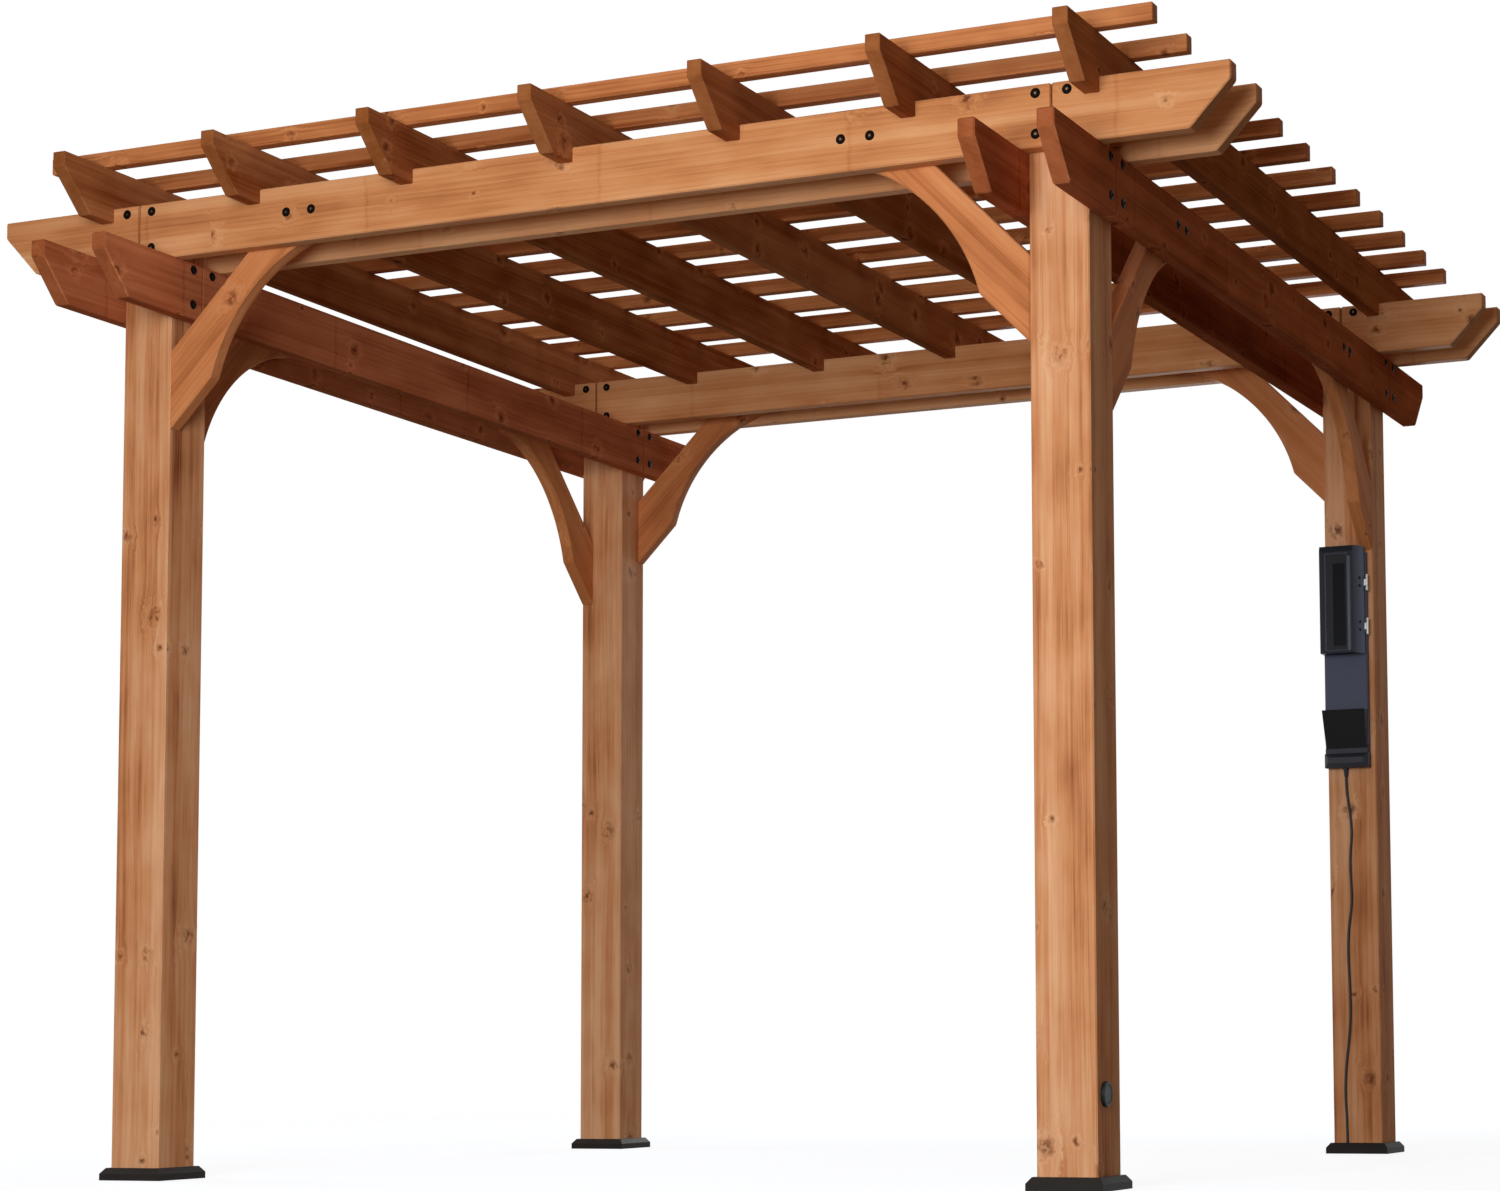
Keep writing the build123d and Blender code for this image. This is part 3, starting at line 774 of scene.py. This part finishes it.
@dataclass
class BoxFittings:
    """Small fittings on the power box: grip, window reveal, screws and outlet slots."""

    front_y: float = 0.972
    columns: int = 24
    grip_x: float = 1.236
    grip_z: tuple[float, float] = (1.408, 1.680)
    grip_radius: float = 4.6
    # Part of the radius and millimetres from the end
    grip_ease: tuple[tuple[float, float], ...] = ((0.1, 0.0), (0.6, 0.4), (0.9, 1.5), (1.0, 3.5))
    # Left, right, low and high side
    reveal_outer: tuple[float, float, float, float] = (1.1670, 1.2300, 1.4120, 1.6860)
    reveal_inner: tuple[float, float, float, float] = (1.1885, 1.2240, 1.4240, 1.6580)
    reveal_corner_mm: float = 3.0
    reveal_corner_points: int = 6
    # Share from outer to inner, growth and height over the front; the bead comes first
    reveal_profile: tuple[Point, ...] = (
        (0.0, 1.6, -0.4),
        (0.0, 1.5, 0.6),
        (0.0, 0.7, 1.1),
        (0.0, -0.3, 1.0),
        (0.0, -0.8, 0.6),
        (1.0, 0.0, 0.2),
        (1.0, 0.0, -0.4),
    )
    bead_strips: int = 4
    flank_spot: tuple[float, float] = (1.2590, 0.9987)
    flank_out: Point = (0.886, -0.464, 0.0)
    hinge_z: tuple[float, float] = (1.606, 1.481)
    screw_half_pitch: float = 0.011
    screw_profile: tuple[tuple[float, float], ...] = (
        (0.2, 0.5),
        (1.2, 0.6),
        (2.6, 1.3),
        (3.6, 1.2),
        (4.2, 0.5),
        (4.3, -0.4),
    )
    socket_spot: tuple[float, float] = (1.208, 1.007)
    socket_z: tuple[float, float] = (1.5295, 1.5685)
    # Across and up from the middle of an outlet, then half width and half height
    slots_mm: tuple[tuple[float, float, float, float], ...] = (
        (-6.4, 3.5, 1.1, 4.0),
        (6.4, 3.5, 1.1, 3.4),
        (0.0, -8.0, 2.5, 2.5),
    )
    slot_profile: tuple[tuple[float, float], ...] = (
        (0.05, 0.25),
        (0.9, 0.25),
        (1.0, 0.1),
        (1.0, -0.4),
    )
    slot_power: float = 5.0

    def grip(self, material: bpy.types.Material) -> None:
        """Round bar with eased ends over the cover's ridge, in a lighter finish that is a painted
        highlight.
        """
        low, high = self.grip_z
        tall = (high - low) / MM
        profile = [(self.grip_radius * r, tall - h) for r, h in self.grip_ease]
        profile += [(self.grip_radius * r, h) for r, h in reversed(self.grip_ease)]
        pattern = turned_pattern(profile, self.columns)
        spot = place((self.grip_x, self.front_y, low), (0, 0, 1))
        mesh = stamped_mesh("cover_grip", pattern, spot[None])
        mesh.polygons.foreach_set("use_smooth", np.ones(len(mesh.polygons), bool))
        new_piece("cover_grip", mesh, "cover", material)

    def reveal(self, material: bpy.types.Material, bead: bpy.types.Material) -> None:
        """Sloping reveal round the pane with a bead at its outer edge, the bead lighter as a
        painted highlight.

        A profile is carried round a rounded rectangle. Each of its points has a share from zero
        at the outer rectangle to one at the inner, a width that the rectangle grows by, and a
        height over the cover's front, both in millimetres.

        Args:
            material: Finish of the slope.
            bead: Finish of the bead, lighter as a painted highlight.
        """
        outer, inner = np.array(self.reveal_outer), np.array(self.reveal_inner)
        corner, steps = self.reveal_corner_mm * MM, self.reveal_corner_points
        angle = np.arange(4)[:, None] * np.pi / 2 + np.linspace(0.0, np.pi / 2, steps)[None]
        middle = np.repeat(angle.mean(axis=1)[:, None], steps, axis=1)
        side = np.sign(np.stack([np.cos(middle), np.sin(middle)], axis=-1)).reshape(-1, 2)
        arc = np.stack([np.cos(angle), np.sin(angle)], axis=-1).reshape(-1, 2)
        rings = []
        for share, grow, proud in self.reveal_profile:
            left, right, low, high = outer * (1 - share) + inner * share
            half = np.array([(right - left) / 2, (high - low) / 2]) + grow * MM - corner
            flat = side * half + arc * corner
            x = (left + right) / 2 + flat[:, 0]
            z = (low + high) / 2 + flat[:, 1]
            rings.append(np.stack([x, np.full_like(x, self.front_y - proud * MM), z], axis=-1))
        points = np.stack(rings)
        index = np.arange(points.shape[0] * points.shape[1]).reshape(points.shape[:2])
        below, ahead = np.roll(index, -1, axis=0), np.roll(index, -1, axis=1)
        around = [index, ahead, np.roll(below, -1, axis=1), below]
        quads = np.stack(around, axis=-1).reshape(-1, 4)
        mesh = bpy.data.meshes.new("window_reveal")
        mesh.from_pydata(points.reshape(-1, 3).tolist(), [], quads.tolist())
        new_piece("window_reveal", mesh, "cover", material)
        mesh.materials.append(bead)
        strip = np.repeat(np.arange(len(rings)) < self.bead_strips, points.shape[1])
        mesh.polygons.foreach_set("material_index", strip.astype(np.int32))
        mesh.update()

    def screws(self, material: bpy.types.Material) -> None:
        """Dished screw heads on the flank, a pair at each hinge."""
        x, y = self.flank_spot
        pair = (-self.screw_half_pitch, self.screw_half_pitch)
        spots = [(x, y, z + step) for z in self.hinge_z for step in pair]
        pattern = turned_pattern(list(self.screw_profile), self.columns)
        places = np.stack([place(spot, self.flank_out) for spot in spots])
        mesh = stamped_mesh("flank_screws", pattern, places)
        new_piece("flank_screws", mesh, "cover", material)

    def slots(self, material: bpy.types.Material) -> None:
        """Dark slots of the two outlets, behind the cover: two blades and a round pin each, as
        dark patches of painted shade in place of openings.
        """
        x, y = self.socket_spot
        matrices = []
        for z in self.socket_z:
            for across, up, wide, tall in self.slots_mm:
                matrix = place((x + across * MM, y, z + up * MM), (0, -1, 0))
                matrix[:, :3] = matrix[:, :3] @ np.diag([wide, tall, 1.0])
                matrices.append(matrix)
        pattern = turned_pattern(list(self.slot_profile), self.columns, self.slot_power)
        mesh = stamped_mesh("outlet_slot_shade", pattern, np.stack(matrices))
        new_piece("outlet_slot_shade", mesh, "frame", material)

    def build(
        self,
        grip: bpy.types.Material,
        bead: bpy.types.Material,
        reveal: bpy.types.Material,
        dark: bpy.types.Material,
    ) -> None:
        """Make all fittings.

        Args:
            grip: Finish of the grip, lighter as a painted highlight.
            bead: Finish of the bead round the window, lighter as a painted highlight.
            reveal: Finish of the reveal.
            dark: Finish of the screws and the slots, whose darkness on the slots is painted
                shade.
        """
        self.grip(grip)
        self.reveal(reveal, bead)
        self.screws(dark)
        self.slots(dark)


@dataclass
class PowerCable:
    """Round sheathed cable from the gland to the skirt."""

    diameter: float = 0.007
    length: float = 1.0308
    route: tuple[Point, ...] = (
        (1.2000, 1.0330, 1.058),
        (1.2000, 1.0330, 1.022),
        (1.2075, 1.0345, 0.970),
        (1.2145, 1.0360, 0.903),
        (1.2070, 1.0355, 0.835),
        (1.2085, 1.0350, 0.770),
        (1.2110, 1.0360, 0.702),
        (1.1995, 1.0355, 0.632),
        (1.1970, 1.0350, 0.552),
        (1.2005, 1.0360, 0.470),
        (1.2020, 1.0355, 0.385),
        (1.1955, 1.0350, 0.312),
        (1.1850, 1.0360, 0.238),
        (1.1820, 1.0365, 0.160),
        (1.1860, 1.0377, 0.088),
        (1.1860, 1.0377, 0.030),
    )

    def build(self, material: bpy.types.Material) -> None:
        """Lay the cable as one NURBS spline through its route."""
        curve = bpy.data.curves.new("power_cable_sheath", "CURVE")
        curve.dimensions = "3D"
        curve.bevel_depth = self.diameter / 2
        curve.bevel_resolution = 4
        curve.use_fill_caps = True
        spline = curve.splines.new("NURBS")
        spline.points.add(len(self.route) - 1)
        points = np.array([(*point, 1.0) for point in self.route])
        spline.points.foreach_set("co", points.ravel())
        spline.order_u = 3
        spline.use_endpoint_u = True
        spline.resolution_u = 8
        curve.materials.append(material)
        piece = bpy.data.objects.new("power_cable_sheath", curve)
        bpy.context.scene.collection.objects.link(piece)
        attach(piece, "frame")
        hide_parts("power_cable")
        LOG.info("power_cable_sheath: %d route points", len(self.route))


@dataclass
class PowerBox:
    """Mouldings, pane and hinges of the power box, with its fittings."""

    # The ledge, below the edge, is darker than the plate; the flank is lighter than the front, a
    # painted reflection
    plate: GrainedPlastic = GrainedPlastic(
        "moulded_housing", "#3A4156", "#424961", second="#151822", axis=2, edge_m=(1.150, 1.144)
    )
    cover: GrainedPlastic = GrainedPlastic(
        "moulded_lid",
        "#141821",
        "#191E29",
        0.45,
        gloss=0.15,
        # Lighter blue-grey of the flank, beyond x 1.243 to 1.264 m: a painted reflection of the
        # bright surroundings
        second="#66748C",
        edge_m=(1.243, 1.264),
    )
    tub: GrainedPlastic = GrainedPlastic("moulded_tub", "#0A0A0C", "#101013", gloss=0.1)
    pane: GrainedPlastic = GrainedPlastic(
        "smoked_pane", "#05070B", "#080C14", 0.25, grain_mm=6.0, depth_mm=0.02, gloss=0.06
    )
    outlets: GrainedPlastic = GrainedPlastic("outlet_face", "#202329", "#2C3038", 0.35)
    hinges: CoatedSteel = CoatedSteel("zinc_steel", "#94928E", 1.0, 0.35)
    # The grip's lighter grey is a painted highlight on the cover's ridge.
    grip: GrainedPlastic = GrainedPlastic("grip_painted_highlight", "#4E566A", "#586178", 0.4)
    # The bead's lighter grey is a painted highlight round the window.
    bead: GrainedPlastic = GrainedPlastic("bead_painted_highlight", "#3A404E", "#434A5A", 0.45)
    reveal: GrainedPlastic = GrainedPlastic(
        "moulded_reveal", "#1B1D22", "#212329", 0.45, gloss=0.12
    )
    fittings: BoxFittings = field(default_factory=BoxFittings)

    def dress(self, nodes: dict[str, bpy.types.Object]) -> None:
        """Give each solid of the box its finish and add the fittings."""
        dark = self.tub.material()
        finishes = {
            "power_box_window": self.pane.material(),
            "power_box_outlets": self.outlets.material(),
            "power_box_hinge": self.hinges.material(),
            "power_box_cover": self.cover.material(),
            "power_box_pocket": dark,
            "power_box_body": self.plate.material(),
        }
        dress_by_start(nodes, finishes)
        grip, bead, reveal = (part.material() for part in (self.grip, self.bead, self.reveal))
        self.fittings.build(grip, bead, reveal, dark)


@dataclass(frozen=True)
class Lamp:
    """Large soft round lamp."""

    name: str
    spot: Point
    aim: Point
    size: float
    power: float

    def build(self) -> None:
        """Hang the lamp and turn it to its aim."""
        data = bpy.data.lights.new(self.name, "AREA")
        data.energy = self.power
        data.shape = "DISK"
        data.size = self.size
        lamp = bpy.data.objects.new(self.name, data)
        lamp.location = self.spot
        away = Vector(self.spot) - Vector(self.aim)
        lamp.rotation_euler = away.to_track_quat("Z", "Y").to_euler()
        bpy.context.scene.collection.objects.link(lamp)


@dataclass
class Studio:
    """Camera, lamps, world and floor."""

    spot: Point = (3.6129, -7.2625, 0.3136)
    yaw: float = 0.38646
    pitch: float = 0.08329
    roll: float = -0.00782
    focal_px: float = 3052.4
    centre_px: tuple[float, float] = (1030.43, 788.80)
    image_px: tuple[int, int] = (1500, 1191)
    sensor_mm: float = 36.0
    view_reach: float = 200.0
    key: Lamp = Lamp("key", (1.1, -6.0, 1.8), (0.2, -0.6, 1.4), 2.6, 212.0)
    back: Lamp = Lamp("back", (-0.8, 6.6, 2.0), (0.0, 0.0, 1.2), 2.6, 125.0)
    left: Lamp = Lamp("left", (-6.8, 0.6, 2.3), (0.0, 0.0, 1.5), 2.6, 130.0)
    top: Lamp = Lamp("top", (0.0, 0.4, 7.0), (0.0, 0.0, 2.0), 3.0, 25.0)
    sky_colour: Colour = (1.0, 0.68, 0.45, 1.0)
    sky_strength: float = 0.21
    floor_size: float = 60.0
    floor_drop: float = 0.0005  # keeps the floor clear of the skirts
    floor_lit: str = "#6E665E"  # for diffuse light
    floor_seen: str = "#7C8795"  # for the camera, near the object
    floor_glow: float = 0.87  # near the object; one far away
    floor_fade: tuple[float, float] = (2.5, 8.0)

    def camera(self) -> None:
        """Set the camera: forward from yaw and pitch, then rolled, with the lens shifted."""
        level = math.cos(self.pitch)
        forward = Vector(
            (-math.sin(self.yaw) * level, math.cos(self.yaw) * level, math.sin(self.pitch))
        )
        right = Vector((math.cos(self.yaw), math.sin(self.yaw), 0.0))
        up = right.cross(forward)
        cos_roll, sin_roll = math.cos(self.roll), math.sin(self.roll)
        right, up = right * cos_roll + up * sin_roll, up * cos_roll - right * sin_roll
        data = bpy.data.cameras.new("view")
        data.sensor_fit = "HORIZONTAL"
        data.sensor_width = self.sensor_mm
        width, height = self.image_px
        data.lens = self.focal_px / width * data.sensor_width
        data.shift_x = (width / 2 - self.centre_px[0]) / width
        data.shift_y = (self.centre_px[1] - height / 2) / width
        data.clip_end = self.view_reach
        view = bpy.data.objects.new("view", data)
        turn = Matrix((right, up, -forward)).transposed()
        view.matrix_world = Matrix.Translation(Vector(self.spot)) @ turn.to_4x4()
        bpy.context.scene.collection.objects.link(view)
        bpy.context.scene.camera = view

    def lamps(self) -> None:
        """A key lamp in front, weaker ones behind, left and above, and a dim warm sky.

        Cameras and gloss see the sky as white.
        """
        for lamp in (self.key, self.back, self.left, self.top):
            lamp.build()
        world = bpy.data.worlds.new("sky")
        world.use_nodes = True
        tree = world.node_tree
        tree.nodes.clear()
        seen = self.seen_directly(tree)
        levels = {0: seen, 2: self.sky_strength, 3: 1.0}
        level = add(tree, "Mix", {"data_type": "FLOAT"}, levels).outputs[0]
        shades = {0: seen, 6: self.sky_colour, 7: (1.0, 1.0, 1.0, 1.0)}
        tint = add(tree, "Mix", {"data_type": "RGBA"}, shades).outputs[2]
        sky = add(tree, "Background", None, {"Color": tint, "Strength": level})
        add(tree, "OutputWorld", None, {"Surface": sky.outputs[0]})
        bpy.context.scene.world = world

    def seen_directly(self, tree: bpy.types.NodeTree) -> bpy.types.NodeSocket:
        """One for camera, glossy and transmission rays, zero for diffuse light."""
        path = add(tree, "LightPath").outputs
        larger = {"operation": "MAXIMUM"}
        pair = {0: path["Is Camera Ray"], 1: path["Is Glossy Ray"]}
        first = add(tree, "Math", larger, pair).outputs[0]
        return add(tree, "Math", larger, {0: first, 1: path["Is Transmission Ray"]}).outputs[0]

    def floor(self) -> None:
        """A pale floor that keeps the shadow and sends little light upwards."""
        half = self.floor_size / 2
        mesh = bpy.data.meshes.new("floor")
        square = [(-half, -half, 0), (half, -half, 0), (half, half, 0), (-half, half, 0)]
        mesh.from_pydata(square, [], [(0, 1, 2, 3)])
        material = bpy.data.materials.new("pale_floor")
        material.use_nodes = True
        tree = material.node_tree
        tree.nodes.clear()
        seen = self.seen_directly(tree)
        spot = add(tree, "TexCoord").outputs["Object"]
        radius = add(tree, "VectorMath", {"operation": "LENGTH"}, {0: spot}).outputs["Value"]
        start, end = self.floor_fade
        smooth = {"interpolation_type": "SMOOTHSTEP"}
        far = add(tree, "MapRange", smooth, {0: radius, 1: start, 2: end}).outputs[0]
        fade = {0: far, 6: linear(self.floor_seen), 7: linear("#000000")}
        near = add(tree, "Mix", {"data_type": "RGBA"}, fade).outputs[2]
        shades = {0: seen, 6: linear(self.floor_lit), 7: near}
        tint = add(tree, "Mix", {"data_type": "RGBA"}, shades).outputs[2]
        matt = add(tree, "BsdfDiffuse", None, {"Color": tint})
        level = add(tree, "MapRange", None, {0: far, 3: self.floor_glow, 4: 1.0}).outputs[0]
        glow = add(tree, "Math", {"operation": "MULTIPLY"}, {0: seen, 1: level})
        lift = add(tree, "Emission", None, {"Strength": glow.outputs[0]})
        both = add(tree, "AddShader", None, {0: matt.outputs[0], 1: lift.outputs[0]})
        add(tree, "OutputMaterial", None, {"Surface": both.outputs[0]})
        mesh.materials.append(material)
        piece = bpy.data.objects.new("floor", mesh)
        piece.location.z = -self.floor_drop
        bpy.context.scene.collection.objects.link(piece)

    def build(self) -> None:
        """Set up the whole studio."""
        self.camera()
        self.lamps()
        self.floor()
        bpy.context.scene.view_settings.view_transform = "Standard"


def dress_by_start(
    nodes: dict[str, bpy.types.Object], finishes: dict[str, bpy.types.Material]
) -> None:
    """Give each node the finish that the start of its name stands for."""
    for name, piece in nodes.items():
        for start, finish in finishes.items():
            if name.startswith(start):
                set_finish(piece, finish)


def main() -> None:
    """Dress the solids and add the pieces."""
    logging.basicConfig(level=logging.INFO, format="%(name)s %(message)s")
    for item in list(bpy.data.objects):
        bpy.data.objects.remove(item, do_unlink=True)
    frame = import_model()
    nodes = frame["nodes"]
    Studio().build()

    sheath = GrainedPlastic("pvc_sheath", "#141518", "#1D1E22", 0.42, grain_mm=2.0, depth_mm=0.05)
    PowerCable().build(sheath.material())
    Timber().dress(nodes)
    skirt = GrainedPlastic("moulded_skirt", "#262423", "#302E2D", gloss=0.06)
    dress_by_start(nodes, {"foot_trim": skirt.material()})
    black = CoatedSteel("black_oxide_steel", "#0D0907", 0.0, 0.45, 0.04)
    # Socket floors: metal sheen, with a painted glint whose brown tint stands for wood reflected
    # in the socket.
    socket = CoatedSteel("socket_floor_glint", "#7A5E48", 1.0, 0.45)
    Bolts().build(black.material(), socket.material())
    plate = GrainedPlastic("moulded_plate", "#151B1B", "#1C2424", 0.4, gloss=0.12)
    Badge().build(plate.material())
    PowerBox().dress(nodes)


if __name__ == "__main__":
    main()
